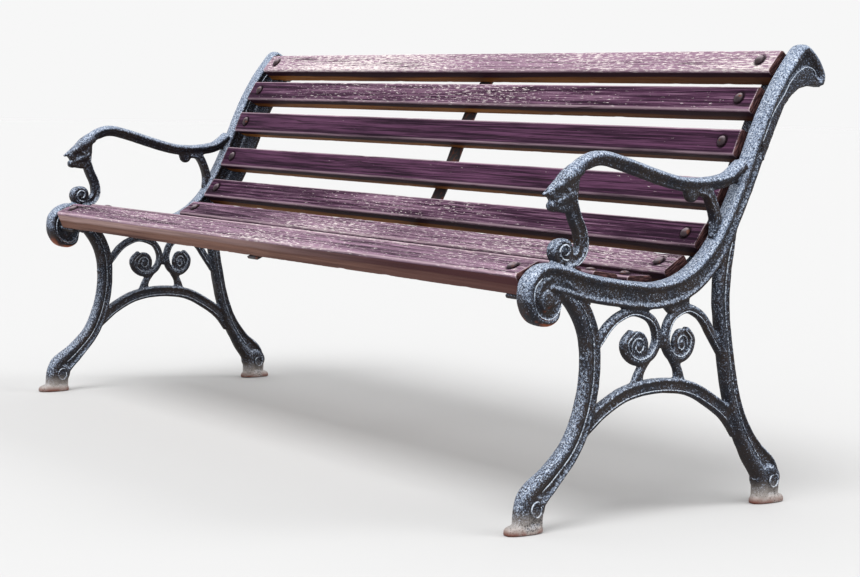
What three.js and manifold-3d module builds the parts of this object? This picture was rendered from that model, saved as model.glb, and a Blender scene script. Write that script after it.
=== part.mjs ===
// Park bench: two cast-iron end frames, ten timber slats, a steel centre strap,
// and the bolts and nuts that hold the slats to the castings' inner ledges.
// Millimetres, +Z up. +X runs along the bench, and the sitter faces -Y.
import * as THREE from 'three';
import { mergeVertices } from 'three/addons/utils/BufferGeometryUtils.js';
import Module from 'manifold-3d';

const wasm = await Module();
wasm.setup();

// Driving dimensions
const FRAME_SPACING = 1790;      // between the middle planes of the two castings
const CAP_WIDTH = 36;            // rounded cap of the rail and the upright, along X
const CAP_DEPTH = 13;
const WEB_WIDTH = 18;            // thin rib behind the cap, along X
const RAIL_DEPTH = 45;           // cap and rib together, at the seat
const UPRIGHT_DEPTH = 33;        // cap and rib together, at the back
const LEG_WIDTH = 26;            // along X
const PAD_WIDTH = 34;            // foot pad, along X
const PAD_LENGTH = 74;           // foot pad, along Y
const PAD_HEIGHT = 12;
const ORNAMENT_WIDTH = 16;       // arch brace and C-scrolls, along X
const ARM_WIDTH = 30;
const LEDGE_REACH = 77;          // from the middle plane to the ledge's inner edge
const LEDGE_THICKNESS = 8;
const LEDGE_ROOT = [3, 14];       // the ledge grows out of the rib between these depths, along X
const LEDGE_ROOT_RISE = 16;

const SEAT_SLAT_WIDTH = 52;
const BACK_SLAT_WIDTH = 49;
const SLAT_THICKNESS = 40;
const SLAT_ARRIS = 5;
const SLAT_END_GAP = 26;         // from the casting's middle plane to the slat's end
const FRONT_SLAT_PROUD = -5;     // how far slat faces stand above the casting's line
const SEAT_SLAT_PROUD = 9;
const BACK_SLAT_PROUD = 3;
const BOLT_INSET = 66;           // from the casting's middle plane to the bolt
const BOLT_RADIUS = 4;
const HEAD_RADIUS = 11;
const HEAD_HEIGHT = 5;
const NUT_FLATS = 13;
const NUT_HEIGHT = 7;
const WASHER_RADIUS = 10;
const WASHER_THICKNESS = 2;
const STRAP_WIDTH = 40;
const STRAP_THICKNESS = 6;
const FIT_GAP = 0.3;             // between touching pieces
const HOLE_RADIUS = BOLT_RADIUS + 0.7;

// The line of the scroll's front, the rail's top and the upright's front, as [y, z]
const seatLine = new THREE.SplineCurve(points([
  [-312, 386], [-304, 412], [-284, 430], [-258, 435], [-225, 428], [-159, 411], [-59, 397], [-9, 400],
  [31, 414], [66, 440], [92, 470], [116, 510], [137, 551], [157, 596], [176, 641], [200, 690],
  [229, 738], [257, 773], [281, 798],
]));
seatLine.arcLengthDivisions = 400;

// Distance of each slat's middle along that line
const FRONT_STATION = 57;
const SEAT_STATIONS = [147, 225, 300, 383];
const BACK_STATIONS = [460, 545, 636, 719, 800];

const castIron = new THREE.MeshStandardMaterial({ color: 0x2b2f3a, roughness: 0.55, metalness: 0.6 });
const paintedTimber = new THREE.MeshStandardMaterial({ color: 0x6d4a5e, roughness: 0.75, metalness: 0 });
const boltSteel = new THREE.MeshStandardMaterial({ color: 0x4f4a52, roughness: 0.5, metalness: 0.8 });
const strapSteel = new THREE.MeshStandardMaterial({ color: 0x2a2628, roughness: 0.6, metalness: 0.8 });

function points(pairs) {
  return pairs.map(([y, z]) => new THREE.Vector2(y, z));
}

// Solids and geometry

function solidOf(geometry) {
  const bare = geometry.clone();
  bare.deleteAttribute('normal');
  bare.deleteAttribute('uv');
  const merged = mergeVertices(bare, 1e-4);
  return new wasm.Manifold(new wasm.Mesh({
    numProp: 3,
    vertProperties: new Float32Array(merged.attributes.position.array),
    triVerts: new Uint32Array(merged.index.array),
  }));
}

function geometryOf(solid) {
  const mesh = solid.getMesh();
  const geometry = new THREE.BufferGeometry();
  geometry.setAttribute('position', new THREE.BufferAttribute(mesh.vertProperties, mesh.numProp));
  geometry.setIndex(new THREE.BufferAttribute(mesh.triVerts, 1));
  return geometry;
}

function joined(geometries) {
  return geometries.map(solidOf).reduce((all, next) => all.add(next));
}

// A flat shape in the Y-Z plane, given thickness from x = low to x = high
const SHAPE_TO_SIDE = new THREE.Matrix4().makeBasis(
  new THREE.Vector3(0, 1, 0), new THREE.Vector3(0, 0, 1), new THREE.Vector3(1, 0, 0));

function plate(outline, low, high) {
  const shape = outline instanceof THREE.Shape ? outline : new THREE.Shape(outline);
  const geometry = new THREE.ExtrudeGeometry(shape, { depth: high - low, bevelEnabled: false, curveSegments: 6 });
  return geometry.applyMatrix4(SHAPE_TO_SIDE).translate(low, 0, 0);
}

function centredPlate(outline, width) {
  return plate(outline, -width / 2, width / 2);
}

// Outlines

function sideways(direction) {
  return new THREE.Vector2(-direction.y, direction.x);
}

// A band between two offsets from a curve; above and below are functions of the share along it
function band(curve, steps, above, below) {
  const upper = [];
  const lower = [];
  for (let i = 0; i <= steps; i += 1) {
    const share = i / steps;
    const point = curve.getPointAt(share);
    const normal = sideways(curve.getTangentAt(share));
    upper.push(point.clone().addScaledVector(normal, above(share)));
    lower.push(point.clone().addScaledVector(normal, -below(share)));
  }
  return upper.concat(lower.reverse());
}

// A ribbon of changing width about the smooth line through some points
function ribbon(pairs, widths, steps) {
  const half = (share) => {
    const place = share * (widths.length - 1);
    const first = Math.min(Math.floor(place), widths.length - 2);
    return THREE.MathUtils.lerp(widths[first], widths[first + 1], place - first) / 2;
  };
  return band(new THREE.SplineCurve(points(pairs)), steps, half, half);
}

function ellipse(y, z, radiusY, radiusZ, sides) {
  const outline = [];
  for (let i = 0; i < sides; i += 1) {
    const turn = i / sides * 2 * Math.PI;
    outline.push(new THREE.Vector2(y + radiusY * Math.cos(turn), z + radiusZ * Math.sin(turn)));
  }
  return outline;
}

// Moves a chain of straight lines sideways, keeping its corners mitred
function offsetChain(chain, distance) {
  return chain.map((point, i) => {
    const before = point.clone().sub(chain[Math.max(i - 1, 0)]).normalize();
    const after = chain[Math.min(i + 1, chain.length - 1)].clone().sub(point).normalize();
    const into = i === 0 ? after : before;
    const out = i === chain.length - 1 ? before : after;
    const normal = sideways(into.clone().add(out).normalize());
    return point.clone().addScaledVector(normal, distance / normal.dot(sideways(into)));
  });
}

// Slat places: where each slat's face is, and how it leans

function slatPlace(name, station, proud, width) {
  const share = station / seatLine.getLength();
  const tangent = seatLine.getTangentAt(share);
  const face = seatLine.getPointAt(share).addScaledVector(sideways(tangent), proud);
  return { name, face, tangent, width, lean: Math.atan2(tangent.y, tangent.x) };
}

const slatPlaces = [
  slatPlace('seat_slat_1', FRONT_STATION, FRONT_SLAT_PROUD, SEAT_SLAT_WIDTH),
  ...SEAT_STATIONS.map((at, i) => slatPlace(`seat_slat_${i + 2}`, at, SEAT_SLAT_PROUD, SEAT_SLAT_WIDTH)),
  ...BACK_STATIONS.map((at, i) => slatPlace(`back_slat_${i + 1}`, at, BACK_SLAT_PROUD, BACK_SLAT_WIDTH)),
];

// The chain of flats that the backs of the slats rest on
function backingChain() {
  const chain = [];
  for (const { face, tangent, width } of slatPlaces) {
    const back = face.clone().addScaledVector(sideways(tangent), -SLAT_THICKNESS - FIT_GAP);
    for (const side of [-1, 1]) {
      chain.push(back.clone().addScaledVector(tangent, side * width / 2));
    }
  }
  return chain;
}

function backingOutline(thickness, rise = 0) {
  const chain = backingChain();
  return offsetChain(chain, rise).concat(offsetChain(chain, -thickness).reverse());
}

// The end frame, part by part, about its own middle plane

function railAndUpright() {
  const depth = (share) => THREE.MathUtils.lerp(
    RAIL_DEPTH, UPRIGHT_DEPTH, THREE.MathUtils.smoothstep(share, 0.42, 0.64));
  return [
    centredPlate(band(seatLine, 32, () => 0, () => CAP_DEPTH), CAP_WIDTH),
    centredPlate(band(seatLine, 32, () => -1, depth), WEB_WIDTH),
  ];
}

function seatScroll() {
  const cap = ribbon([
    [-286, 418], [-300, 400], [-301, 372], [-288, 350], [-266, 342], [-244, 348], [-234, 364],
  ], [20, 22, 22, 22, 20, 16, 10], 18);
  return [
    centredPlate(cap, CAP_WIDTH),
    centredPlate(ellipse(-268, 384, 36, 44, 20), WEB_WIDTH),
    centredPlate(ellipse(-262, 380, 12, 14, 12), CAP_WIDTH - 6),
  ];
}

function topCurl() {
  const cap = ribbon([
    [266, 778], [283, 790], [302, 777], [318, 759], [327, 738], [328, 726],
  ], [14, 17, 17, 15, 13, 10], 14);
  const web = new THREE.Shape(points([
    [236, 690], [252, 708], [270, 720], [296, 726], [324, 724], [330, 736], [324, 752], [306, 772], [283, 792],
    [262, 776], [226, 724],
  ]));
  return [centredPlate(cap, CAP_WIDTH), centredPlate(web, WEB_WIDTH)];
}

function frontLeg() {
  const leg = ribbon([
    [-204, 380], [-180, 345], [-169, 300], [-170, 240], [-183, 180], [-207, 130], [-246, 88], [-284, 52], [-290, 8],
  ], [40, 34, 30, 32, 34, 36, 40, 52, 56], 18);
  const pad = ellipse(-297, 0, PAD_LENGTH / 2, PAD_HEIGHT, 16).filter(({ y }) => y > -1e-6);
  return [centredPlate(leg, LEG_WIDTH), centredPlate(pad, PAD_WIDTH)];
}

function backLeg() {
  const leg = ribbon([
    [134, 480], [119, 430], [114, 380], [117, 330], [129, 260], [144, 195], [166, 140], [197, 92], [229, 54], [231, 8],
  ], [22, 28, 30, 27, 27, 28, 30, 38, 54, 52], 18);
  const pad = ellipse(237, 0, PAD_LENGTH / 2, PAD_HEIGHT, 16).filter(({ y }) => y > -1e-6);
  return [centredPlate(leg, LEG_WIDTH), centredPlate(pad, PAD_WIDTH)];
}

function archBrace() {
  const arch = ribbon([[-176, 163], [-140, 190], [-88, 214], [-22, 222], [44, 214], [96, 189], [136, 163]], [26, 26], 20);
  return [centredPlate(arch, ORNAMENT_WIDTH)];
}

// One C-scroll under the seat; side is -1 for the front one, and reach shortens the back one
const SCROLL_MIDDLE = -17;
const BACK_SCROLL_REACH = 0.82;

function bracketScroll(side, reach) {
  const place = (pairs) => pairs.map(([out, z]) => [SCROLL_MIDDLE + side * reach * out, z]);
  const scroll = ribbon(place([
    [132 / reach, 296], [104, 328], [62, 345], [24, 332], [12, 302], [24, 274], [50, 264], [74, 276], [81, 298], [64, 316],
  ]), [16, 15, 14, 14, 13, 13, 13, 12, 11, 9], 28);
  const stem = ribbon(place([[14, 288], [30, 268], [45, 248], [53, 222]]), [10, 14, 17, 24], 6);
  const eye = ellipse(SCROLL_MIDDLE + side * reach * 52, 291, 24 * reach, 27, 16);
  return [
    centredPlate(scroll, ORNAMENT_WIDTH),
    centredPlate(stem, ORNAMENT_WIDTH),
    centredPlate(eye, ORNAMENT_WIDTH - 6),
  ];
}

function armrest() {
  const bar = ribbon([
    [-218, 572], [-194, 592], [-160, 602], [-116, 594], [-54, 576], [0, 562], [44, 557], [92, 560], [124, 568], [152, 586],
  ], [24, 25, 24, 24, 24, 24, 24, 24, 26, 34], 22);
  const head = new THREE.Shape(points([
    [-267, 546], [-240, 567], [-216, 588], [-200, 576], [-212, 530], [-228, 518], [-246, 518], [-258, 528],
  ]));
  const support = ribbon([
    [-214, 575], [-219, 540], [-207, 510], [-194, 482], [-193, 456], [-207, 438], [-228, 437],
  ], [18, 19, 20, 20, 20, 18, 14], 14);
  const bracket = ribbon([[52, 550], [76, 544], [92, 522], [100, 496], [100, 470]], [24, 18, 17, 18, 26], 8);
  return [
    centredPlate(bar, ARM_WIDTH),
    centredPlate(head, ARM_WIDTH - 4),
    centredPlate(support, ARM_WIDTH - 8),
    centredPlate(ellipse(-232, 455, 19, 22, 16), ARM_WIDTH - 4),
    centredPlate(ellipse(40, 544, 16, 18, 12), WEB_WIDTH),
    centredPlate(bracket, WEB_WIDTH),
  ];
}

// The ledge reaches inwards, away from the side that the frame stands on
function innerLedge(side) {
  const inward = (outline, near, far) => plate(outline, ...(side > 0 ? [-far, -near] : [near, far]));
  const [near, far] = LEDGE_ROOT;
  return [
    inward(backingOutline(LEDGE_THICKNESS), near, LEDGE_REACH),
    inward(backingOutline(LEDGE_THICKNESS, LEDGE_ROOT_RISE), near, far),
  ];
}

function boltHole({ face, lean }, x) {
  return new THREE.CylinderGeometry(HOLE_RADIUS, HOLE_RADIUS, 4 * SLAT_THICKNESS, 12)
    .rotateX(Math.PI / 2 + lean)
    .translate(x, face.x, face.y);
}

function endFrame(name, side) {
  const casting = joined([
    ...railAndUpright(), ...seatScroll(), ...topCurl(), ...frontLeg(), ...backLeg(), ...archBrace(),
    ...bracketScroll(-1, 1), ...bracketScroll(1, BACK_SCROLL_REACH), ...armrest(), ...innerLedge(side),
  ]);
  const holes = slatPlaces.map((place) => solidOf(boltHole(place, -side * BOLT_INSET)));
  const drilled = holes.reduce((solid, hole) => solid.subtract(hole), casting);
  const mesh = new THREE.Mesh(geometryOf(drilled), castIron);
  mesh.name = name;
  mesh.position.x = side * FRAME_SPACING / 2;
  return mesh;
}

// Slats, bolts, nuts and strap. Each slat group has its face at z = 0, its outward side up

function slatGeometry(width) {
  const length = FRAME_SPACING - 2 * SLAT_END_GAP;
  const section = new THREE.Shape();
  const [w, t, r] = [width / 2, SLAT_THICKNESS, SLAT_ARRIS];
  section.moveTo(w - r, 0);
  section.absarc(-w + r, -r, r, Math.PI / 2, Math.PI, false);
  section.absarc(-w + r, -t + r, r, Math.PI, 1.5 * Math.PI, false);
  section.absarc(w - r, -t + r, r, 1.5 * Math.PI, 2 * Math.PI, false);
  section.absarc(w - r, -r, r, 0, Math.PI / 2, false);
  const bar = new THREE.ExtrudeGeometry(section, { depth: length, bevelEnabled: false, curveSegments: 3 });
  const slat = solidOf(bar.applyMatrix4(SHAPE_TO_SIDE).translate(-length / 2, 0, 0));
  const drill = (x) => solidOf(new THREE.CylinderGeometry(HOLE_RADIUS, HOLE_RADIUS, 4 * t, 12)
    .rotateX(Math.PI / 2).translate(x, 0, 0));
  const inset = FRAME_SPACING / 2 - BOLT_INSET;
  return geometryOf(slat.subtract(drill(-inset)).subtract(drill(inset)));
}

// Distance from the slat's face down to the underside of the ledge
const LEDGE_UNDERSIDE = SLAT_THICKNESS + FIT_GAP + LEDGE_THICKNESS;

function boltGeometry() {
  const tip = -(LEDGE_UNDERSIDE + WASHER_THICKNESS + NUT_HEIGHT + 4);
  const profile = [
    [0, tip], [BOLT_RADIUS, tip], [BOLT_RADIUS, FIT_GAP], [HEAD_RADIUS, FIT_GAP],
    [HEAD_RADIUS * 0.72, HEAD_HEIGHT * 0.7], [0, HEAD_HEIGHT],
  ];
  return new THREE.LatheGeometry(points(profile), 10).rotateX(Math.PI / 2);
}

function ringGeometry(radius, sides, thickness) {
  const ring = new THREE.Shape(ellipse(0, 0, radius, radius, sides));
  ring.holes.push(new THREE.Path(ellipse(0, 0, HOLE_RADIUS, HOLE_RADIUS, 8)));
  return new THREE.ExtrudeGeometry(ring, { depth: thickness, bevelEnabled: false });
}

// A hexagon nut forged in one with its washer
function nutGeometry() {
  const top = -(LEDGE_UNDERSIDE + FIT_GAP);
  const washer = ringGeometry(WASHER_RADIUS, 10, WASHER_THICKNESS).translate(0, 0, top - WASHER_THICKNESS);
  const hexagon = ringGeometry(NUT_FLATS / Math.sqrt(3), 6, NUT_HEIGHT)
    .translate(0, 0, top - WASHER_THICKNESS - NUT_HEIGHT);
  return geometryOf(joined([washer, hexagon]));
}

function slatGroup({ name, face, lean, width }) {
  const group = new THREE.Group();
  group.position.set(0, face.x, face.y);
  group.rotation.x = lean;
  const slat = new THREE.Mesh(slatGeometry(width), paintedTimber);
  slat.name = name;
  group.add(slat);
  for (const [end, side] of [['left', -1], ['right', 1]]) {
    const bolt = new THREE.Mesh(boltGeometry(), boltSteel);
    const nut = new THREE.Mesh(nutGeometry(), boltSteel);
    bolt.name = `${name}_bolt_${end}`;
    nut.name = `${name}_nut_${end}`;
    for (const fastener of [bolt, nut]) {
      fastener.position.x = side * (FRAME_SPACING / 2 - BOLT_INSET);
      group.add(fastener);
    }
  }
  return group;
}

function centreStrap() {
  const strap = new THREE.Mesh(centredPlate(backingOutline(STRAP_THICKNESS), STRAP_WIDTH), strapSteel);
  strap.name = 'centre_strap';
  return strap;
}

const bench = new THREE.Group();
bench.add(endFrame('end_frame_left', -1), endFrame('end_frame_right', 1));
for (const place of slatPlaces) {
  bench.add(slatGroup(place));
}
bench.add(centreStrap());

export default bench;
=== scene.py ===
"""Park bench: ten stained timber slats on two ornamental cast-iron end frames, with bolts, nuts and a strap.

Metres, +Z up. +X runs along the bench, and the sitter faces -Y. Outlines of the castings are in millimetres,
as (y, z) in the plane of the casting, and turned into metres when a casting is finished.
"""
import math
import random

import bmesh
import bpy
import numpy as np
from mathutils import Matrix, Vector, kdtree, noise


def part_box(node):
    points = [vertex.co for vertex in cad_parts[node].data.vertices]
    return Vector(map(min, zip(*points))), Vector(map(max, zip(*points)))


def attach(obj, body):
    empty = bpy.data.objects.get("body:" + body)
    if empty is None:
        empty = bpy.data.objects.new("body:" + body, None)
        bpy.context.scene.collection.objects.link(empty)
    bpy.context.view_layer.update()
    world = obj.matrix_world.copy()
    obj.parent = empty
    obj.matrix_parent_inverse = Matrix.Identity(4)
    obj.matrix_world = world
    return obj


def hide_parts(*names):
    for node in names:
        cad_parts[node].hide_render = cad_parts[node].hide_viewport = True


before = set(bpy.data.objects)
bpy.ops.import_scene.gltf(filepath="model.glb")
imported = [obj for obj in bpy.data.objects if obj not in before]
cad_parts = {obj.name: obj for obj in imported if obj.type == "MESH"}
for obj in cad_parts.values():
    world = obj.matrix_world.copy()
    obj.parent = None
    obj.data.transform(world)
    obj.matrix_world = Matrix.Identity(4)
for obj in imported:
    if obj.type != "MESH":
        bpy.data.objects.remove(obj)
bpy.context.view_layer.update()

MM = 0.001
SLATS = [f"seat_slat_{i}" for i in range(1, 6)] + [f"back_slat_{i}" for i in range(1, 6)]
ENDS = {"left": -1, "right": 1}

# Casting dimensions, in millimetres
CAP_HALF = 18            # half widths are along X
CAP_DEEP = 14
WEB_HALF = 9
RAIL_DEEP = 45
UPRIGHT_DEEP = 33
BRACE_HALF = 8
LEDGE_REACH = 77
LEDGE_THICK = 8
GRAIN_OF_SKIN = 2.0      # size of the facets of the castings' skin
SCREW_RADIUS = 0.0048    # of the strap's screws, in metres
CLEAR_OF_BACK = 3.3      # from the slats' backs to the middle of the strap


# ---------------------------------------------------------------- closed forms

class Forms:
    """Corners and faces gathered from several closed forms"""

    def __init__(self):
        self.corners = []
        self.faces = []

    def add(self, form):
        corners, faces = form
        first = len(self.corners)
        self.corners += [tuple(corner) for corner in corners]
        self.faces += [[first + i for i in face] for face in faces]

    def mesh(self, name, scale=1.0):
        made = bpy.data.meshes.new(name)
        made.from_pydata([[c * scale for c in corner] for corner in self.corners], [], self.faces)
        shell = bmesh.new()
        shell.from_mesh(made)
        bmesh.ops.recalc_face_normals(shell, faces=shell.faces)
        for face in shell.faces:
            face.smooth = True
        shell.to_mesh(made)
        shell.free()
        return made


def lofted(rings):
    """A closed form through rings of equal count, with both ends filled"""
    count = len(rings[0])
    corners = [corner for ring in rings for corner in ring]
    faces = []
    for ring in range(len(rings) - 1):
        for i in range(count):
            j = (i + 1) % count
            low, high = ring * count, (ring + 1) * count
            faces.append([low + i, low + j, high + j, high + i])
    faces.append(list(range(count))[::-1])
    faces.append([(len(rings) - 1) * count + i for i in range(count)])
    return corners, faces


def flow(points, spacing=3.0):
    """The smooth line through some points, in even steps"""
    points = np.array(points, float)
    held = np.vstack([points[:1], points, points[-1:]])
    fine = []
    for i in range(len(points) - 1):
        before, start, end, after = held[i:i + 4]
        leave, arrive = (end - before) / 2, (after - start) / 2
        for t in np.linspace(0, 1, 20, endpoint=False):
            fine.append((2 * start - 2 * end + leave + arrive) * t ** 3
                        + (3 * end - 3 * start - 2 * leave - arrive) * t ** 2 + leave * t + start)
    fine.append(points[-1])
    return stepped(np.array(fine), spacing)


def stepped(points, spacing):
    """A chain of points walked again in even steps"""
    points = np.array(points, float)
    run = np.concatenate([[0], np.cumsum(np.linalg.norm(np.diff(points, axis=0), axis=1))])
    count = max(int(run[-1] / spacing) + 1, 3)
    walk = np.linspace(0, run[-1], count)
    return np.column_stack([np.interp(walk, run, points[:, i]) for i in range(points.shape[1])])


def sideways(line):
    """The unit direction square to a line at each of its points, to the left of its travel"""
    along = np.gradient(line, axis=0)
    along /= np.linalg.norm(along, axis=1)[:, None]
    return np.column_stack([-along[:, 1], along[:, 0]])


def spread(value, count):
    """A number, or numbers spread evenly, as one number for each point of a line"""
    values = np.atleast_1d(np.array(value, float))
    return np.interp(np.linspace(0, 1, count), np.linspace(0, 1, len(values)), values)


def shifted(line, offset):
    """The line moved to its left by an offset, which may change along it"""
    return line + sideways(line) * spread(offset, len(line))[:, None]


def rib(line, half, above, below, square=2.4, middle=0.0, sides=20):
    """A bar that follows a line of the profile. half is half its width along X, and above and below are its reach
    to the left and right of the line's travel. square is 2 for an oval section and more for a squarer one."""
    count = len(line)
    out = sideways(line)
    half, above, below = (spread(value, count) for value in (half, above, below))
    turn = (np.arange(sides) + 0.5) / sides * 2 * math.pi
    wide = np.sign(np.cos(turn)) * np.abs(np.cos(turn)) ** (2 / square)
    high = np.sign(np.sin(turn)) * np.abs(np.sin(turn)) ** (2 / square)
    rings = []
    for i in range(count):
        reach = high * np.where(high > 0, above[i], below[i])
        rings.append(np.column_stack([
            middle + wide * half[i], line[i, 0] + out[i, 0] * reach, line[i, 1] + out[i, 1] * reach]))
    return lofted(rings)


def slab(outline, half, middle=0.0):
    """A flat plate of some outline in the plane of the casting"""
    return lofted([[(middle + x, y, z) for y, z in outline] for x in (-half, half)])


def oval(y, z, wide, high, sides=32):
    """Points round an oval in the plane of the casting"""
    turn = np.arange(sides) / sides * 2 * math.pi
    return np.column_stack([y + wide * np.cos(turn), z + high * np.sin(turn)])


def boss(y, z, wide, high, half, sides=20):
    """A rounded boss through the casting, domed on both faces"""
    rings = []
    for t in np.linspace(-1, 1, 13)[1:-1]:
        share = math.sqrt(1 - t ** 4)
        rings.append([(t * half, py, pz) for py, pz in oval(y, z, wide * share, high * share, sides)])
    return lofted(rings)


def spiral(y, z, wide, high, start, turn, left):
    """A line that winds into (y, z) from a start angle, through a turn in degrees, down to a share of its size"""
    share = np.linspace(0, 1, 48)
    angle = np.radians(start + turn * share)
    shrink = 1 - (1 - left) * share
    winding = np.column_stack([y + wide * shrink * np.cos(angle), z + high * shrink * np.sin(angle)])
    return stepped(winding, 2.0)


def bead(line, radius, x):
    """A thin raised bead on both faces of the casting, at x millimetres from its middle plane"""
    count = len(line)
    size = radius * np.minimum(1, np.minimum(np.arange(count), np.arange(count)[::-1]) / 4 + 0.3)
    return [rib(line, size, size, size, 2.0, side * x, 8) for side in (-1, 1)]


def turned(profile, place, axis, sides=28):
    """A turned form about an axis: profile is (radius, height) from one end to the other"""
    axis = Vector(axis).normalized()
    across = axis.orthogonal().normalized()
    other = axis.cross(across)
    rings = []
    for radius, height in profile:
        rings.append([Vector(place) + axis * height
                      + (across * math.cos(a) + other * math.sin(a)) * max(radius, 1e-5)
                      for a in np.arange(sides) / sides * 2 * math.pi])
    return lofted(rings)


# ---------------------------------------------------------------- where the slats lie

class SlatPlace:
    """Where a slat's solid lies: the middle of its face, the way out of its face and the way up across it"""

    def __init__(self, name):
        self.name = name
        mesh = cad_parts[name].data
        areas = {}
        for polygon in mesh.polygons:
            way = (round(polygon.normal.y, 3), round(polygon.normal.z, 3))
            areas[way] = areas.get(way, 0) + polygon.area
        self.out = Vector((0, *max(areas, key=areas.get))).normalized()
        if self.out.z < self.out.y:
            self.out.negate()
        self.up = Vector((0, self.out.z, -self.out.y))
        low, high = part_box(name)
        middle = (low + high) / 2
        self.half_long = (high.x - low.x) / 2
        self.half_wide = max(abs((vertex.co - middle).dot(self.up)) for vertex in mesh.vertices)
        self.half_thick = max(abs((vertex.co - middle).dot(self.out)) for vertex in mesh.vertices)
        self.face = middle + self.out * self.half_thick
        bolt_low, bolt_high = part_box(f"{name}_bolt_right")
        self.bolt_x = (bolt_low.x + bolt_high.x) / 2

    def point(self, x, up, out):
        """A point at x along the bench, up across the face and out from it"""
        return Vector((x, 0, 0)) + self.face + self.up * up + self.out * out


places = {name: SlatPlace(name) for name in SLATS}


def backing(depth):
    """The chain of points behind the slats' backs, at some depth below them, in millimetres of (y, z)"""
    chain = []
    for name in SLATS:
        place = places[name]
        for side in (-1, 1):
            point = place.point(0, side * place.half_wide, -2 * place.half_thick - depth * MM)
            chain.append((point.y / MM, point.z / MM))
    return np.array(chain)


# ---------------------------------------------------------------- shader sums

class Wire:
    """One value in a finish, so that shader sums read as plain sums"""

    def __init__(self, finish, socket):
        self.finish = finish
        self.socket = socket

    def sum(self, operation, *values):
        return self.finish.node("ShaderNodeMath", {"operation": operation}, dict(enumerate(values)))

    def __add__(self, other):
        return self.sum("ADD", self, other)

    def __radd__(self, other):
        return self.sum("ADD", other, self)

    def __sub__(self, other):
        return self.sum("SUBTRACT", self, other)

    def __rsub__(self, other):
        return self.sum("SUBTRACT", other, self)

    def __mul__(self, other):
        return self.sum("MULTIPLY", self, other)

    def __rmul__(self, other):
        return self.sum("MULTIPLY", other, self)

    def __abs__(self):
        return self.sum("ABSOLUTE", self)

    def rise(self, low, high):
        """0 below low and 1 above high, with a soft step between; high may be below low"""
        return self.finish.node("ShaderNodeMapRange", {"interpolation_type": "SMOOTHSTEP"}, {
            "Value": self, "From Min": low, "From Max": high, "To Min": 0.0, "To Max": 1.0})


class Finish:
    """A material, and the ways to lay nodes in it"""

    def __init__(self, name):
        self.material = bpy.data.materials.new(name)
        self.material.use_nodes = True
        self.tree = self.material.node_tree
        self.tree.nodes.clear()

    def node(self, kind, settings, values, output=0):
        made = self.tree.nodes.new(kind)
        for name, value in settings.items():
            setattr(made, name, value)
        for name, value in values.items():
            socket = made.inputs[name]
            if isinstance(value, Wire):
                self.tree.links.new(value.socket, socket)
            else:
                socket.default_value = value
        return Wire(self, made.outputs[output]) if len(made.outputs) else None

    def here(self):
        return self.node("ShaderNodeTexCoord", {}, {}, "Object")

    def written(self, name, kind="Vector"):
        """A value that a piece carries at each of its points: a Vector, or a plain number as Fac"""
        return self.node("ShaderNodeAttribute", {"attribute_name": name}, {}, kind)

    def parts(self, vector):
        return [self.node("ShaderNodeSeparateXYZ", {}, {"Vector": vector}, i) for i in range(3)]

    def stretched(self, vector, stretch):
        return self.node("ShaderNodeVectorMath", {"operation": "MULTIPLY"}, {0: vector, 1: stretch})

    def facing(self, way):
        """How far the surface faces a fixed direction"""
        normal = self.node("ShaderNodeNewGeometry", {}, {}, "Normal")
        return self.node("ShaderNodeVectorMath", {"operation": "DOT_PRODUCT"},
                         {0: normal, 1: Vector(way).normalized()}, "Value")

    def cloud(self, vector, scale, detail=3.0, rough=0.55):
        return self.node("ShaderNodeTexNoise", {}, {
            "Vector": vector, "Scale": scale, "Detail": detail, "Roughness": rough})

    def mixed(self, amount, first, second):
        return self.node("ShaderNodeMix", {"data_type": "RGBA"}, {0: amount, 6: first, 7: second}, 2)

    def bumped(self, height, strength, distance):
        return self.node("ShaderNodeBump", {}, {
            "Height": height, "Strength": strength, "Distance": distance})

    def shaded(self, **values):
        """The finished material. Each value's name is that of the shader's socket, in small letters"""
        names = {
            name.replace("_", " ").title().replace("Ior", "IOR"): value for name, value in values.items()}
        skin = self.node("ShaderNodeBsdfPrincipled", {}, names, "BSDF")
        self.node("ShaderNodeOutputMaterial", {}, {"Surface": skin})
        return self.material


def colour(code):
    """A colour from its six hex digits, as linear light"""
    parts = [int(code[i:i + 2], 16) / 255 for i in (0, 2, 4)]
    return tuple(c / 12.92 if c <= 0.04045 else ((c + 0.055) / 1.055) ** 2.4 for c in parts) + (1.0,)


# ---------------------------------------------------------------- finishes

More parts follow.
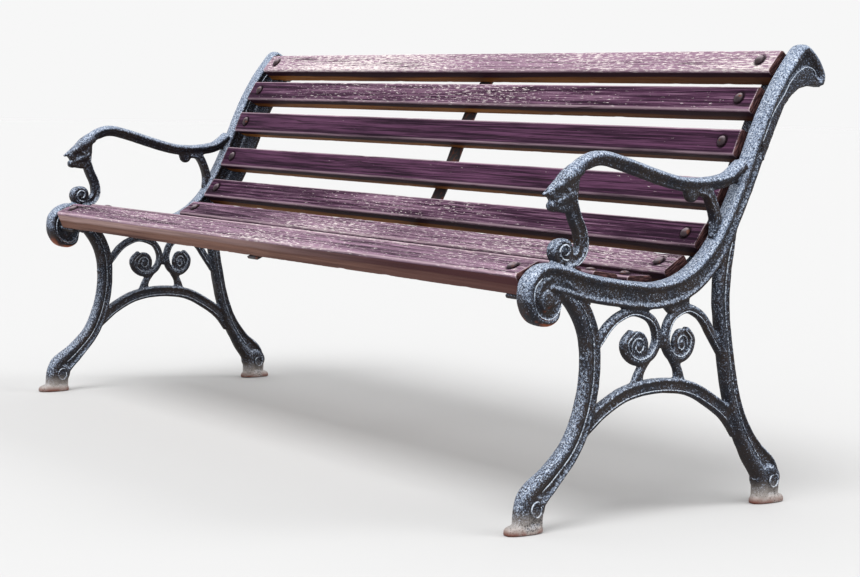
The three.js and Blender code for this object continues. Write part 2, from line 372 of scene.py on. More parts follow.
def iron_finish(name, worn):
    """Black paint on sand-cast iron, rubbed pale blue-grey in specks and on its caps; where it faces up it is also
    painted paler, with more painted highlight glints, as overhead light would show it; worn lightens all of it
    """
    finish = Finish(name)
    here = finish.here()
    along, depth, height = finish.parts(here)
    cap = finish.written("rubbed", "Fac")
    inner = abs(along).rise(0.882, 0.872)
    curl = height.rise(0.66, 0.74) * depth.rise(0.20, 0.26)
    sand = finish.cloud(here, 330.0, 4.0, 0.7)
    fine = finish.cloud(here, 780.0, 2.0, 0.6)
    patches = finish.cloud(here, 22.0, 3.0, 0.6)
    # Painted light: how far the surface faces up, which makes it paler below
    painted_top_light = finish.facing((0.10, -0.20, 0.97)).rise(-0.30, 0.60)
    speckle = (sand - 0.5) * 5.6 + (fine - 0.5) * 2.4
    handled_and_lit = (painted_top_light - 0.5) * 1.3 + cap * 0.30 + curl * 0.1 - inner * 0.5
    # Pale blue-grey: real rubbed paint in specks, on the caps and the curl, plus painted light on upward faces
    rubbed = (speckle + handled_and_lit + (worn - 0.26)).rise(-0.30, 1.0)
    dark = finish.mixed(patches.rise(0.35, 0.65), colour("100f18"), colour("241a16"))
    iron = finish.mixed(rubbed, dark, colour("7e8ea8"))
    # Painted highlight: near-white glints, more of them on upward faces
    bright = (sand - 0.5) * 4.2 + (fine - 0.5) * 3.4 + (painted_top_light - 0.75) * 0.9
    glints = (bright + cap * 0.1 - inner * 0.4 + worn).rise(0.50, 0.85)
    iron = finish.mixed(glints, iron, colour("cdd5df"))
    ground = height.rise(0.045, 0.004) * (sand + patches * 0.6).rise(0.55, 0.8)
    iron = finish.mixed(ground, iron, colour("a8a19c"))
    foot_rust = height.rise(0.016, 0.0) * patches.rise(0.3, 0.6)
    iron = finish.mixed(foot_rust, iron, colour("6b3322"))
    under = finish.facing((0, 0, -1)).rise(0.2, 0.8) * height.rise(0.375, 0.345) * depth.rise(-0.225, -0.240)
    under = under * height.rise(0.28, 0.32)
    iron = finish.mixed(under * patches.rise(0.35, 0.55), iron, colour("8a4420"))
    relief = sand * 0.7 + fine * 0.3
    return finish.shaded(
        base_color=iron, metallic=0.15, specular_ior_level=0.35, roughness=0.62 - rubbed * 0.14,
        normal=finish.bumped(relief, 0.55, 0.0012))


def timber_finish(name, wear, sides, raws):
    """Stained hardwood. wear is how much of the face has worn pale, sides are the tones beside the face at the left
    and right ends (stain; on the front seat slat, painted light, pale at the left and painted shade at the right), and
    raws are two tones of the barer timber farther back."""
    finish = Finish(name)
    grain = finish.written("grain")
    long, wide, depth = finish.parts(finish.written("place"))
    fibre = finish.cloud(finish.stretched(grain, (7.0, 520.0, 520.0)), 1.0, 6.0, 0.72)
    streak = finish.cloud(finish.stretched(grain, (2.6, 170.0, 170.0)), 1.0, 4.0, 0.6)
    broad = finish.cloud(finish.stretched(grain, (2.2, 34.0, 34.0)), 1.0, 3.0, 0.55)
    drift = finish.cloud(finish.stretched(grain, (1.1, 6.0, 6.0)), 1.0, 2.0, 0.5)
    flecks = finish.cloud(finish.stretched(grain, (52.0, 430.0, 430.0)), 1.0, 4.0, 0.72)
    split = finish.cloud(finish.stretched(grain, (1.6, 120.0, 120.0)), 1.0, 2.0, 0.5)
    figure = (fibre * 1.5 + streak * 1.4 + broad * 0.7 + drift * 0.5 - 1.66).rise(0.12, 0.72)
    stain = finish.mixed(figure, colour("1f0d1d"), colour("5d3a55"))
    pale = (fibre * 1.7 + streak * 1.0 + broad * 0.5 + drift * 0.8 + (wear * 1.1 - 2.47)).rise(0.0, 0.45)
    stain = finish.mixed(pale * 0.85, stain, colour("9c7f92"))
    edge = abs(wide).rise(0.80, 0.93) * depth.rise(0.16, 0.02)
    stain = finish.mixed(edge * (broad * 0.9 + fibre * 0.5).rise(0.42, 0.75) * 0.85, stain, colour("b9a0ac"))
    scratched = (flecks * 1.3 + drift * 0.6 + (wear * 0.35 - 1.26)).rise(0.0, 0.10)
    stain = finish.mixed(scratched * depth.rise(0.2, 0.05), stain, colour("e2d8d6"))
    cracks = abs(split - 0.5).rise(0.018, 0.004) * broad.rise(0.45, 0.6)
    stain = finish.mixed(cracks * 0.85, stain, colour("1d1218"))
    # From the left end's tone to the right end's; on the front seat slat a painted gradient of light
    side = finish.mixed(long.rise(-0.7, 0.7), *sides)
    side = finish.mixed((streak * 0.6 + broad * 0.5).rise(0.45, 0.75) * 0.5, side, colour("2a171c"))
    raw = finish.mixed((broad * 0.6 + streak * 0.5).rise(0.4, 0.7), *raws)
    # Toward the right end the barer timber takes the right end's tone, painted shade on the front seat slat
    raw = finish.mixed(long.rise(0.0, 0.95) * 0.7, raw, sides[1])
    flank = finish.mixed((depth + broad * 0.35 - 0.17).rise(0.44, 0.58), side, raw)
    lower = finish.facing((0, -0.5, -0.85)).rise(0.25, 0.6)
    back = finish.mixed((1 - lower) * 0.85, flank, colour("3c2530"))
    stain = finish.mixed(depth.rise(0.10, 0.20), stain, back)
    cut = abs(long).rise(0.9968, 0.9982)
    rings = finish.cloud(finish.stretched(grain, (40.0, 60.0, 700.0)), 1.0, 3.0, 0.6)
    ends = finish.mixed(rings.rise(0.42, 0.66), colour("2c1c1e"), colour("6a4a48"))
    stain = finish.mixed(cut, stain, ends)
    recess_shade, chipped = finish.parts(finish.written("dish_shade_and_chips"))[:2]
    stain = finish.mixed(chipped.rise(0.15, 0.6) * 0.7, stain, colour("a08890"))
    end_arris = abs(long).rise(0.9940, 0.9965) * (1 - cut) * depth.rise(0.35, 0.05)
    stain = finish.mixed(end_arris * (fibre + broad).rise(0.8, 1.15) * 0.8, stain, colour("c9b6bb"))
    # Painted shade: near-black in the dish round each bolt head
    stain = finish.mixed(recess_shade * 0.85, stain, colour("150b10"))
    relief = fibre * 0.6 + streak * 0.5 - cracks * 0.8
    return finish.shaded(
        base_color=stain, roughness=0.50 + fibre * 0.3, specular_ior_level=0.06,
        normal=finish.bumped(relief, 0.6, 0.0016))


def steel_finish(name, base, worn_and_lit_tone, rust_amount):
    """Small painted steel ware: a base paint, rubbed and painted brighter on top as a painted highlight, with some
    rust
    """
    finish = Finish(name)
    here = finish.here()
    grit = finish.cloud(here, 420.0, 3.0, 0.6)
    patches = finish.cloud(here, 90.0, 2.0, 0.5)
    # Painted highlight, partly rubbed paint: a brighter tone on upward faces
    painted_top_light = finish.facing((-0.1, -0.2, 0.97)).rise(0.62, 1.0)
    tone = finish.mixed(painted_top_light * (grit * 0.8 + 0.5), base, worn_and_lit_tone)
    tone = finish.mixed(patches.rise(0.62 - rust_amount, 0.75 - rust_amount), tone, colour("5a2f20"))
    return finish.shaded(
        base_color=tone, metallic=0.35, roughness=0.38 + patches * 0.3,
        normal=finish.bumped(grit, 0.3, 0.0006))


cast_iron = iron_finish("cast_iron", 0.0)
worn_bead = iron_finish("worn_bead", 0.55)
# How much of each slat's face has worn pale
WEAR = {
    "seat_slat_1": 0.62, "seat_slat_2": 0.52, "seat_slat_3": 0.50, "seat_slat_4": 0.56, "seat_slat_5": 0.60,
    "back_slat_1": 0.46, "back_slat_2": 0.18, "back_slat_3": 0.16, "back_slat_4": 0.40, "back_slat_5": 0.84}
# The stain beside each slat's face at its two ends, and the barer timber farther back on its sides. On the front seat
# slat the ends' tones are painted light: pale at the left, painted shade at the right
SIDE_TONES_AND_LIGHT = {name: (colour("2b1420"), colour("2b1420")) for name in SLATS}
# Painted light on the front seat slat's front side: pale left end, painted shade at the right end
SIDE_TONES_AND_LIGHT["seat_slat_1"] = (colour("ae918c"), colour("4a2c2e"))
RAWS = {name: (colour("5c3416"), colour("9a6632")) for name in SLATS}
RAWS["seat_slat_1"] = (colour("4c332e"), colour("7d5d52"))
timbers = {
    name: timber_finish(f"timber_{name}", WEAR[name], SIDE_TONES_AND_LIGHT[name], RAWS[name]) for name in SLATS}
bolt_steel = steel_finish("bolt_steel", colour("2f2027"), colour("9c8d94"), 0.04)
nut_steel = steel_finish("nut_steel", colour("3a3536"), colour("8d8a8c"), 0.16)
strap_steel = steel_finish("strap_steel", colour("221c20"), colour("55505a"), 0.10)


# ---------------------------------------------------------------- end frames

SEAT_POINTS = [
    (-312, 386), (-304, 412), (-284, 430), (-258, 435), (-225, 428), (-159, 411), (-59, 397), (-9, 400),
    (31, 414), (66, 440), (92, 470), (116, 510), (137, 551), (157, 596), (176, 641), (200, 690), (229, 738)]
SEAT_LINE = flow([*SEAT_POINTS, (257, 773), (281, 798)])
CAP_LINE = flow([
    *SEAT_POINTS, (256, 773), (269, 789), (283, 797), (300, 789), (319, 770), (331, 750), (332, 737),
    (328, 726)])


def rail_and_upright():
    """The rounded cap from the seat scroll to the end of the top curl, the recessed web under it and its lip"""
    count = len(SEAT_LINE)
    share = np.clip((np.linspace(0, 1, count) - 0.42) / 0.22, 0, 1)
    deep = RAIL_DEEP + (UPRIGHT_DEEP - RAIL_DEEP) * share * share * (3 - 2 * share)
    start = int(count * 0.10)
    end = int(count * 0.88)
    yield rib(shifted(CAP_LINE, -CAP_DEEP / 2), CAP_HALF, CAP_DEEP / 2, CAP_DEEP / 2 + 1.5, 2.4)
    yield rib(shifted(SEAT_LINE, -(deep + 6) / 2), WEB_HALF, (deep - 6) / 2, (deep - 6) / 2, 8)
    yield rib(shifted(SEAT_LINE, -(deep - 5))[start:end], 13, 5, 5, 2.6)


def seat_scroll():
    """The cap wound under itself at the front of the rail, round a recessed disc with a rough boss"""
    roll = flow([
        (-286, 418), (-300, 400), (-301, 372), (-288, 350), (-266, 342), (-249, 347), (-243, 362), (-246, 378)])
    yield rib(roll, [18, 18, 18, 18, 17, 14, 10], [4, 3, 3, 3, 2, 2, 2], [10, 11, 11, 11, 9, 5, 3], 2.8)
    yield rib(flow([(-252, 412), (-276, 402), (-284, 378), (-270, 360)]), [9, 12, 13, 13], 5, 5, 2.4)
    yield slab(oval(-268, 384, 34, 42), WEB_HALF)
    yield slab([(-246, 380), (-226, 374), (-212, 358), (-188, 344), (-184, 384), (-240, 400)], WEB_HALF)
    yield boss(-266, 377, 13, 15, 16)


def top_curl():
    """The flange that fills the curl at the top of the upright"""
    yield slab([
        (236, 690), (252, 708), (270, 720), (296, 726), (324, 724), (330, 736), (324, 752), (306, 772),
        (283, 790), (262, 774), (226, 724)], WEB_HALF)
    yield slab([
        (192, 598), *CURL_BEAD, (326, 730), (318, 726), (296, 727), (270, 721), (252, 709), (236, 691),
        (222, 664)], 14)


CURL_BEAD = [
    (187, 628), (196, 647), (206, 670), (214, 684), (226, 699), (237, 714), (246, 729), (258, 742), (269, 751),
    (284, 757), (296, 756), (305, 750), (309, 741), (314, 736), (322, 736)]


def leg(line, widths, foot_y, bulge):
    """A leg with a rounded body, a groove and a rod down its rear edge, on a swollen foot and a pad"""
    line = flow(line)
    wide = spread(widths, len(line))
    yield rib(shifted(line, wide * -0.22), spread([12, 13, 14, 15], len(line)), wide * 0.25, wide * 0.28, 2.5)
    yield rib(line, WEB_HALF, wide * 0.46, wide * 0.4, 6)
    yield rib(shifted(line, wide * 0.39), spread([11, 11, 12, 13], len(line)), wide * 0.11, wide * 0.11, 2.2)
    yield boss(*bulge, 16)
    rings = []
    for high, share in ((0.5, 0.985), (2, 1.0), (8, 0.99), (12, 0.90), (15, 0.70)):
        outline = oval(0, 0, 1, 1, 32)
        outline = np.sign(outline) * np.abs(outline) ** 0.8
        rings.append([(17 * share * x, foot_y + 36.7 * share * y, high) for y, x in outline])
    yield lofted(rings)


FRONT_LEG = [
    (-236, 394), (-210, 376), (-185, 343), (-171, 300), (-170, 240), (-183, 180), (-207, 130), (-246, 88),
    (-284, 52), (-290, 8)]
FRONT_WIDTHS = [30, 36, 36, 34, 34, 35, 36, 40, 52, 52]
BACK_LEG = [
    (138, 500), (120, 434), (114, 380), (117, 330), (129, 260), (144, 195), (166, 140), (197, 92), (229, 54),
    (232, 8)]
BACK_WIDTHS = [8, 26, 30, 27, 27, 28, 30, 38, 54, 50]
ARCH = [
    (-198, 143), (-176, 163), (-140, 190), (-88, 214), (-22, 222), (44, 214), (96, 189), (134, 162), (162, 128)]
SCROLL_MIDDLE = -17
SCROLL_REACH = {-1: 1.0, 1: 0.82}


def scroll_line(side):
    """The middle line of the C-scroll under the seat, from its leg to its eye"""
    reach = SCROLL_REACH[side]
    return flow([(SCROLL_MIDDLE + side * reach * out, z) for out, z in (
        (165, 270), (134, 305), (116, 326), (94, 341), (62, 349), (23, 334), (9, 302), (22, 274), (50, 264), (74, 276),
        (81, 298), (64, 316))])


def arch_and_scrolls():
    """The arch between the legs, and the pair of C-scrolls that stand on it"""
    arch = flow(ARCH)
    yield rib(arch, BRACE_HALF - 1, 12, 12, 4)
    yield rib(shifted(arch, 8.5), BRACE_HALF + 2, 4.5, 4.5, 2.4)
    yield rib(shifted(arch, -10), BRACE_HALF, 3, 3, 2.2)
    for side, reach in SCROLL_REACH.items():
        line = scroll_line(side)
        wide = spread([18, 17, 17, 17, 16, 15, 14, 14, 13, 12, 10], len(line)) / 2
        yield rib(line, BRACE_HALF, wide, wide, 2.8)
        yield slab(oval(SCROLL_MIDDLE + side * reach * 52, 291, 22 * reach, 25), 4.5)
        yield boss(SCROLL_MIDDLE + side * reach * 52, 290, 6.5, 7, BRACE_HALF)
        stem = flow([
            (SCROLL_MIDDLE + side * reach * out, z) for out, z in ((14, 288), (30, 268), (45, 248), (53, 222))])
        yield rib(stem, BRACE_HALF - 1, [5, 7, 8, 12], [5, 7, 8, 12], 3)
    yield boss(SCROLL_MIDDLE, 298, 5, 14, BRACE_HALF - 1)
    yield slab([(-98, 352), (-74, 349), (-52, 348), (-44, 356), (-48, 372), (-98, 376)], BRACE_HALF - 1)
    yield slab([(-14, 354), (-2, 344), (30, 347), (40, 357), (38, 376), (0, 368), (-10, 364)], BRACE_HALF - 1)


ARM_LINE = [
    (-218, 572), (-194, 592), (-160, 602), (-116, 594), (-54, 576), (0, 562), (44, 557), (92, 560), (124, 568),
    (154, 588)]
SUPPORT_LINE = [(-214, 572), (-220, 542), (-211, 510), (-198, 482), (-195, 456), (-208, 438), (-230, 435)]


def armrest():
    """The arm: a rounded bar over a thin web, a curved support with a small scroll, and a bracket at its back"""
    bar = flow(ARM_LINE)
    yield rib(
        shifted(bar, 4.5), [13, 14, 15, 15, 15, 15, 15, 15, 16, 17], [7.5] * 9 + [10],
        [14, 11, 10, 9, 9, 9, 9, 9, 10, 12], 2.1)
    yield rib(shifted(bar, -6), 6.5, 6, [4, 6, 6, 6, 6, 6, 6, 6, 6, 10], 5)
    yield rib(shifted(bar, -10.5)[12:-10], 7.5, 2.0, 2.0, 2.2)
    support = flow(SUPPORT_LINE)
    yield rib(support, 7, 8, 8, 5)
    yield rib(shifted(support, 6.5), 11, 3.6, 3.6, 2.4)
    yield rib(shifted(support, -6.5)[:-8], 10, 3.4, 3.4, 2.4)
    roll = spiral(-234, 454, 20, 20, -95, -330, 0.42)
    yield rib(roll, [12, 13, 13, 12, 9], [5.5, 6, 6, 5, 3], [5.5, 6, 5, 4, 3], 2.5)
    yield slab(oval(-233, 454, 20, 20), 7)
    yield boss(-232, 452, 6, 7, 12)
    bracket = flow([(56, 549), (76, 543), (90, 522), (98, 496), (99, 468)])
    yield rib(bracket, 9, [11, 9, 8, 9, 13], [11, 9, 8, 9, 13], 4)
    yield rib(shifted(bracket, -7), 11, 2.5, 2.5, 2.2)
    yield boss(40, 544, 15, 17, 9)


def arm_end():
    """The forward end of the arm: a plain creature's muzzle, with a pointed lip, a jaw, a fold, brows and cheeks"""
    muzzle = flow([(-200, 584), (-222, 572), (-246, 556), (-274, 543)])
    yield rib(muzzle, [14, 14, 12, 3], [10, 12, 10, 2], [16, 15, 9, 2], 2.2)
    jaw = flow([(-212, 546), (-234, 536), (-254, 529), (-262, 527)])
    yield rib(jaw, [12, 12, 11, 7], [10, 9, 7, 4], [12, 12, 9, 4], 2.2)
    yield boss(-252, 524, 11, 8, 9)
    yield slab([
        (-264, 543), (-244, 560), (-218, 582), (-204, 572), (-208, 528), (-228, 514), (-248, 517), (-262, 525),
        (-256, 534)], 9)
    yield rib(flow([(-237, 556), (-226, 546), (-222, 534)]), 13, 3, 3, 2.0)
    yield boss(-217, 560, 12, 18, 13)
    yield from (boss(-246, 558, 3.5, 2.5, 15), boss(-231, 561, 5, 4, 15))


def ledge():
    """The ledge that carries the slats, reaching in from the casting on a root beside the web"""
    outer, inner = backing(0.3), backing(0.3 + LEDGE_THICK)
    yield slab([*outer, *inner[::-1]], (LEDGE_REACH - 4) / 2, -(LEDGE_REACH + 3) / 2)
    yield slab([*backing(-26), *inner[::-1]], 5.5, -8.5)


def beads():
    """The thin raised beads that run along the castings' parts and wind into their eyes"""
    scroll = flow([
        (-284, 414), (-298, 398), (-300, 372), (-290, 352), (-273, 343), (-256, 346), (-246, 356), (-240, 370)])
    yield from bead(shifted(scroll, 2.5), 1.3, 16.6)
    yield from bead(flow(CURL_BEAD), 1.5, 13.8)
    for line, widths in ((FRONT_LEG, FRONT_WIDTHS), (BACK_LEG, BACK_WIDTHS)):
        line = flow(line)
        wide = spread(widths, len(line))
        start, end = int(len(line) * 0.08), int(len(line) * 0.86)
        yield from bead(shifted(line, wide * 0.02)[start:end], 1.3, 12.0)
    yield from bead(spiral(-281, 39, 12, 14, 60, 330, 0.75), 1.6, 14.8)
    yield from bead(spiral(240, 40, 11, 13, 60, -330, 0.75), 1.6, 14.8)
    arch = flow(ARCH)
    yield from bead(shifted(arch, -7.5)[10:-12], 1.2, 6.9)
    for side, reach in SCROLL_REACH.items():
        line = scroll_line(side)
        yield from bead(shifted(line, side * 4.5), 1.5, 7.2)
        y = SCROLL_MIDDLE + side * reach * 52
        start = 205 if side < 0 else -25
        yield from bead(spiral(y, 290, 15 * reach, 17, start, side * 430, 0.35), 1.8, 5.0)
    support = flow(SUPPORT_LINE)
    yield from bead(shifted(support, 7.5)[8:-6], 1.1, 10.8)
    yield from bead(spiral(-233, 453, 14, 15, -60, -400, 0.4), 2.2, 11.5)


def uneven(mesh, scale, amount):
    """Moves the skin in and out a little, as a sand mould leaves it"""
    places_now = np.zeros(len(mesh.vertices) * 3, np.float32)
    normals = np.zeros(len(mesh.vertices) * 3, np.float32)
    mesh.vertices.foreach_get("co", places_now)
    mesh.vertex_normals.foreach_get("vector", normals)
    push = [noise.noise(Vector(place) * scale) * amount for place in places_now.reshape(-1, 3)]
    places_now += normals * np.repeat(np.array(push, np.float32), 3)
    mesh.vertices.foreach_set("co", places_now)


def poured(forms, name):
    """The forms grown into one skin with small fillets where they meet, as iron poured in one mould"""
    rough = bpy.data.objects.new(name, forms.mesh(name, MM))
    bpy.context.scene.collection.objects.link(rough)
    skin = rough.modifiers.new("skin", "REMESH")
    skin.mode = "VOXEL"
    skin.voxel_size = GRAIN_OF_SKIN * MM
    fillets = rough.modifiers.new("fillets", "SMOOTH")
    fillets.factor = 0.5
    fillets.iterations = 3
    lighter = rough.modifiers.new("lighter", "DECIMATE")
    lighter.ratio = 0.6
    made = bpy.data.meshes.new_from_object(rough.evaluated_get(bpy.context.evaluated_depsgraph_get()))
    bpy.data.objects.remove(rough)
    uneven(made, 60.0, 0.0004)
    return made


def casting():
    """One end frame about its own middle plane, facing +X, with its beads as a second material"""
    body, raised = Forms(), Forms()
    for part in (
            rail_and_upright(), seat_scroll(), top_curl(),
            leg(FRONT_LEG, FRONT_WIDTHS, -297, (-286, 42, 27, 25)),
            leg(BACK_LEG, BACK_WIDTHS, 237, (232, 44, 30, 25)),
            arch_and_scrolls(), armrest(), arm_end(), ledge()):
        for form in part:
            body.add(form)
    for form in beads():
        raised.add(form)
    both = bmesh.new()
    both.from_mesh(poured(body, "casting"))
    for face in both.faces:
        face.smooth = True
    count = len(both.faces)
    both.from_mesh(raised.mesh("beads", MM))
    both.faces.ensure_lookup_table()
    for face in both.faces[count:]:
        face.material_index = 1
    made = bpy.data.meshes.new("end_frame")
    both.to_mesh(made)
    both.free()
    return made


def marked(mesh):
    """Writes how hard each point of a casting is rubbed: 1 on the caps of the rail, upright and arm, else 0"""
    caps = np.vstack([shifted(CAP_LINE, -CAP_DEEP / 2), shifted(flow(ARM_LINE), 5)])
    near = kdtree.KDTree(len(caps))
    for i, (y, z) in enumerate(caps):
        near.insert((0, y * MM, z * MM), i)
    near.balance()
    away = [near.find((0, vertex.co.y, vertex.co.z))[2] / MM for vertex in mesh.vertices]
    layer = mesh.attributes.new("rubbed", "FLOAT", "POINT")
    layer.data.foreach_set("value", np.clip((11.5 - np.array(away, np.float32)) / 3, 0, 1))
    return mesh


def piece(name, mesh, materials, node):
    """A finished piece of the bench, in the place of its solid"""
    for material in materials:
        mesh.materials.append(material)
    made = bpy.data.objects.new(name, mesh)
    bpy.context.scene.collection.objects.link(made)
    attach(made, "root")
    if node:
        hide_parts(node)
    return made


def lay_end_frames():
    right = marked(casting())
    for end, side in ENDS.items():
        mesh = right.copy()
        low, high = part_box(f"end_frame_{end}")
        outer = high.x if side > 0 else low.x
        place = Matrix.Translation((outer - side * CAP_HALF * MM, 0, 0))
        mesh.transform(place @ Matrix.Diagonal((side, 1, 1, 1)))
        if side < 0:
            mesh.flip_normals()
        piece(f"cast_end_{end}", mesh, [cast_iron, worn_bead], f"end_frame_{end}")


# ---------------------------------------------------------------- slats

def slat_section(half_wide, thick, arris=5.0 * MM):
    """Points round a slat's section as (up, out), from the face's lower arris, with the face at out = 0"""
    w = half_wide
    points = [(up, 0.0) for up in np.linspace(-w + arris, w - arris, 18)]
    for centre, start in (((w, 0), 90), ((w, -thick), 0), ((-w, -thick), -90), ((-w, 0), -180)):
        middle = (centre[0] - math.copysign(arris, centre[0]), -arris if centre[1] == 0 else -thick + arris)
        for turn in (18, 36, 54, 72):
            angle = math.radians(start - turn)
            points.append((middle[0] + arris * math.cos(angle), middle[1] + arris * math.sin(angle)))
        if start == 90:
            points += [(w, out) for out in np.linspace(-arris, -thick + arris, 7)]
        elif start == 0:
            points += [(up, -thick) for up in np.linspace(w - arris, -w + arris, 9)]
        elif start == -90:
            points += [(-w, out) for out in np.linspace(-thick + arris, -arris, 7)]
    return np.array(points)


def slat_mesh(place, seed, ragged):
    """A slat with worn, slightly wavy faces, chipped arrises, and dished seats under its bolt heads"""
    thick = 2 * place.half_thick
    section = slat_section(place.half_wide, thick)
    middle = np.array([0.0, -place.half_thick])
    end = place.half_long
    near = np.arange(end - 0.072, end - 0.004, 0.0022)
    stations = np.concatenate([-near[::-1], np.linspace(-near[0], near[0], 200)[1:-1], near])
    cuts = [(end - 0.0025, 1.0), (end - 0.0008, 0.965), (end, 0.91), (end, 0.6), (end, 0.3)]
    rings = [(-x, share) for x, share in cuts[::-1]] + [(x, 1.0) for x in stations] + cuts
    corners, grain, spots, dish_shade_and_chips = [], [], [], []
    for x, share in rings:
        for up, out in middle + (section - middle) * share:
            spot = Vector((x + seed * 3.7, up, out))
            wave = noise.noise(Vector((spot.x * 5, up * 22 + seed, out * 22))) * 0.0006
            ridge = noise.noise(Vector((spot.x * 9, up * 420, out * 420 + seed))) * 0.00022
            toward_side = max(0.0, abs(up) / place.half_wide - 0.80)
            toward_face = max(0.0, abs(out + place.half_thick) / place.half_thick - 0.74)
            corner = toward_side * 5 * toward_face * 3.8
            along_arris = (spot.x * 21, round(up / place.half_wide) * 3 + seed, round(-out / thick) * 5)
            chip = max(0.0, noise.noise(Vector(along_arris)) - 0.22)
            nick = max(0.0, noise.noise(Vector((spot.x * 90, up * 60, seed * 7))) - 0.25)
            pull = min(corner, 1.0) * (chip * 0.011 * ragged + nick * 0.0022 * ragged)
            toward = Vector((-up, -out - place.half_thick)).normalized()
            dish = 0.0
            lift = wave + ridge if abs(out) < 1e-6 or abs(out + thick) < 1e-6 else wave * 0.5
            if out > -0.006:
                from_bolt = math.hypot(abs(x) - place.bolt_x, up)
                dish = min(max((0.0145 - from_bolt) / 0.0022, 0.0), 1.0)
                lift -= dish * dish * (3 - 2 * dish) * 0.0013
            moved_up = up + toward.x * pull
            moved_out = out + toward.y * pull + (lift if out > -place.half_thick else -lift)
            if share < 0.95:
                x_end = x - math.copysign(abs(noise.noise(Vector((up * 130, out * 500, seed)))) * 0.0009, x)
            else:
                x_end = x
            corners.append(place.point(x_end, moved_up, moved_out - 0.0002))
            grain.append((x + seed * 3.7, up + seed * 0.31, out))
            spots.append((x / end, up / place.half_wide, -out / thick))
            # The dish is written for painted shade round the bolt head, the pull for chipped arrises
            dish_shade_and_chips.append((dish, pull / 0.003, 0.0))
    count = len(section)
    forms = Forms()
    forms.add(lofted([corners[i:i + count] for i in range(0, len(corners), count)]))
    mesh = forms.mesh(place.name)
    for name, values in (("grain", grain), ("place", spots), ("dish_shade_and_chips", dish_shade_and_chips)):
        layer = mesh.attributes.new(name, "FLOAT_VECTOR", "POINT")
        layer.data.foreach_set("vector", np.array(values, np.float32).ravel())
    return mesh


def lay_slats():
    for seed, name in enumerate(SLATS, 1):
        ragged = 1.0 if name.startswith("seat") else 0.6
        piece(f"timber_{name}", slat_mesh(places[name], seed, ragged), [timbers[name]], name)


# ---------------------------------------------------------------- ironware

def bolt_forms(place, x, chance):
    """A domed bolt head in its dish, a shank, and a threaded tip below the nut"""
    tilt = Vector((chance.uniform(-0.05, 0.05), chance.uniform(-0.05, 0.05), 0))
    axis = (place.out + tilt).normalized()
    radius = chance.uniform(9.5, 10.2) * MM
    dome = [(radius * math.cos(a), 0.0004 + 0.0046 * math.sin(a)) for a in np.linspace(0, math.pi / 2, 9)]
    yield turned([(radius * 0.9, -0.0012), (radius, -0.0004), *dome], place.point(x, 0, 0), axis)
    low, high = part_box(f"{place.name}_nut_{'right' if x > 0 else 'left'}")
    nut_depth = -((low + high) / 2 - place.point(x, 0, 0)).dot(place.out)
    tip = nut_depth + 0.0083
    thread = [
        (0.0040 if i % 2 else 0.0034, -(nut_depth - 0.004) - i * 0.0006) for i in range(int(0.0118 / 0.0006))]
    shank = [(0.0038, -0.001), (0.0038, -(nut_depth - 0.0045)), *thread, (0.0028, -tip)]
    yield turned(shank, place.point(x, 0, 0), place.out, 16)


def nut_forms(place, x):
    """A hexagon nut with chamfered corners on a flat washer"""
    low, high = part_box(f"{place.name}_nut_{'right' if x > 0 else 'left'}")
    at = Vector((x, 0, 0)) + Vector((0, (low.y + high.y) / 2, (low.z + high.z) / 2))
    under = -place.out
    washer = [
        (0.0045, -0.0044), (0.0094, -0.0044), (0.0098, -0.0040), (0.0098, -0.0030), (0.0094, -0.0026),
        (0.0045, -0.0026)]
    yield turned(washer, at, under, 28)
    across = under.orthogonal().normalized()
    other = under.cross(across)
    rings = []
    for height, most in ((-0.0026, 1.0), (-0.0018, 1.0), (0.0032, 1.0), (0.0044, 0.90), (0.0045, 0.62)):
        ring = []
        for a in np.arange(36) / 36 * 2 * math.pi:
            hexagon = 0.0065 / math.cos((a + math.pi / 6) % (math.pi / 3) - math.pi / 6)
            radius = min(hexagon, 0.0075 * most)
            ring.append(at + under * height + (across * math.cos(a) + other * math.sin(a)) * radius)
        rings.append(ring)
    yield lofted(rings)


def gathered(name, made):
    forms = Forms()
    for form in made:
        forms.add(form)
    return forms.mesh(name)


def lay_bolts():
    chance = random.Random(11)
    for name in SLATS:
        place = places[name]
        for end, side in ENDS.items():
            x = side * place.bolt_x
            bolt = gathered("bolt", bolt_forms(place, x, chance))
            piece(f"carriage_bolt_{name}_{end}", bolt, [bolt_steel], f"{name}_bolt_{end}")
            nut = gathered("nut", nut_forms(place, x))
            piece(f"hexagon_nut_{name}_{end}", nut, [nut_steel], f"{name}_nut_{end}")


def lay_strap():
    """The bent strap behind the slats, and the round-headed screws that hold each slat to it"""
    chain = stepped(backing(CLEAR_OF_BACK), 2.0)
    strap = Forms()
    strap.add(rib(chain, 19.8, 2.8, 2.8, 7, sides=28))
    piece("bent_strap", strap.mesh("strap", MM), [strap_steel], "centre_strap")
    for name in SLATS:
        place = places[name]
        dome = [
            (SCREW_RADIUS * math.cos(a), 0.0006 + 0.0024 * math.sin(a)) for a in np.linspace(0, math.pi / 2, 8)]
        at = place.point(0, 0, -2 * place.half_thick - 0.0061)
        profile = [(SCREW_RADIUS * 0.9, -0.0006), (SCREW_RADIUS, 0.0), *dome]
        head = gathered("screw", [turned(profile, at, -place.out, 24)])
        for vertex in head.vertices:
            if abs((vertex.co - at).x) < 0.0007 and (vertex.co - at).dot(-place.out) > 0.0012:
                vertex.co += place.out * 0.0009
        piece(f"strap_screw_{name}", head, [nut_steel], None)


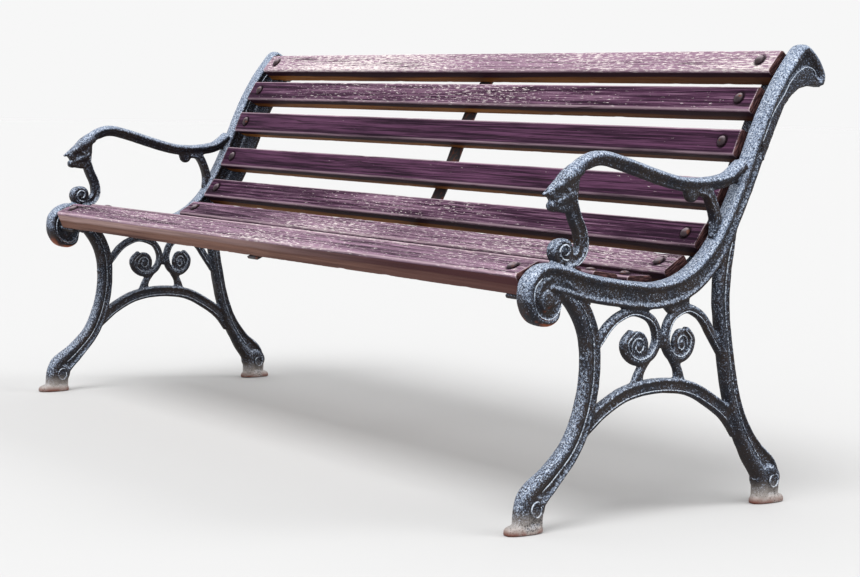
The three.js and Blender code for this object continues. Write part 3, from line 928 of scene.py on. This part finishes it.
# ---------------------------------------------------------------- floor, light and camera

def lay_floor():
    mesh = bpy.data.meshes.new("floor")
    mesh.from_pydata([(-40, -40, 0), (40, -40, 0), (40, 40, 0), (-40, 40, 0)], [], [(0, 1, 2, 3)])
    finish = Finish("pale_floor")
    mesh.materials.append(finish.shaded(base_color=colour("c0c0c0"), roughness=0.9, specular_ior_level=0.1))
    floor = bpy.data.objects.new("floor", mesh)
    bpy.context.scene.collection.objects.link(floor)


def light():
    world = bpy.data.worlds.new("studio")
    world.use_nodes = True
    world.node_tree.nodes["Background"].inputs["Color"].default_value = (1.0, 1.0, 1.0, 1)
    world.node_tree.nodes["Background"].inputs["Strength"].default_value = 0.93
    bpy.context.scene.world = world
    bpy.context.scene.view_settings.view_transform = "Standard"
    for name, way, power, spread_angle in (
            ("key", (0.25, -0.45, 1.0), 2.4, 35), ("rim", (0.45, 0.75, 0.65), 0.8, 25)):
        lamp = bpy.data.lights.new(name, "SUN")
        lamp.energy = power
        lamp.angle = math.radians(spread_angle)
        made = bpy.data.objects.new(name, lamp)
        made.rotation_euler = Vector(way).to_track_quat("Z", "Y").to_euler()
        bpy.context.scene.collection.objects.link(made)


def place_camera():
    yaw, pitch, roll = (math.radians(angle) for angle in (-55.14, -5.36, 1.08))
    ahead = Vector((math.sin(yaw) * math.cos(pitch), math.cos(yaw) * math.cos(pitch), math.sin(pitch)))
    level = Vector((math.cos(yaw), -math.sin(yaw), 0))
    upright = level.cross(ahead)
    right = level * math.cos(roll) + upright * math.sin(roll)
    up = upright * math.cos(roll) - level * math.sin(roll)
    camera = bpy.data.objects.new("camera", bpy.data.cameras.new("camera"))
    camera.data.sensor_width = 36
    camera.data.lens = 85.76
    turn = Matrix((right, up, -ahead)).transposed().to_4x4()
    camera.matrix_world = Matrix.Translation((3.4577, -2.2729, 0.6958)) @ turn
    bpy.context.scene.collection.objects.link(camera)
    bpy.context.scene.camera = camera


place_camera()
light()
lay_floor()
lay_end_frames()
lay_slats()
lay_bolts()
lay_strap()
